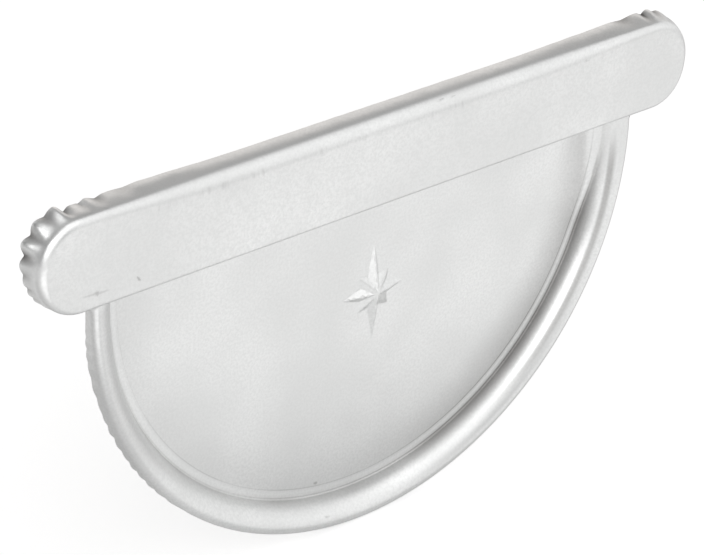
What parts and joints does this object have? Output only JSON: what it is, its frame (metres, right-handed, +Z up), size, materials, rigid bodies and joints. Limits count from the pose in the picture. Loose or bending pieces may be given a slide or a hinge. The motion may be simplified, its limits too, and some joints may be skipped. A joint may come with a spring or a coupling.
{
  "type": "gutter end cap",
  "caption": "Pressed galvanised steel end cap for a half-round gutter: flat field with a stamped star, raised rim and an eared band with crimped flanges.",
  "frame": {"origin": "centre of the half-round, on the back face of the flat field", "axes": "+X along the band, +Y from the outside face towards the gutter, +Z up"},
  "size_m": [0.1918, 0.0076, 0.1062],
  "materials": {
    "zinc_sheet": "galvanised, dull satin with a fine grain, draw scuffs along the bends"
  },
  "bodies": {
    "root": {"end_cap": "zinc_sheet"}
  },
  "joints": []
}
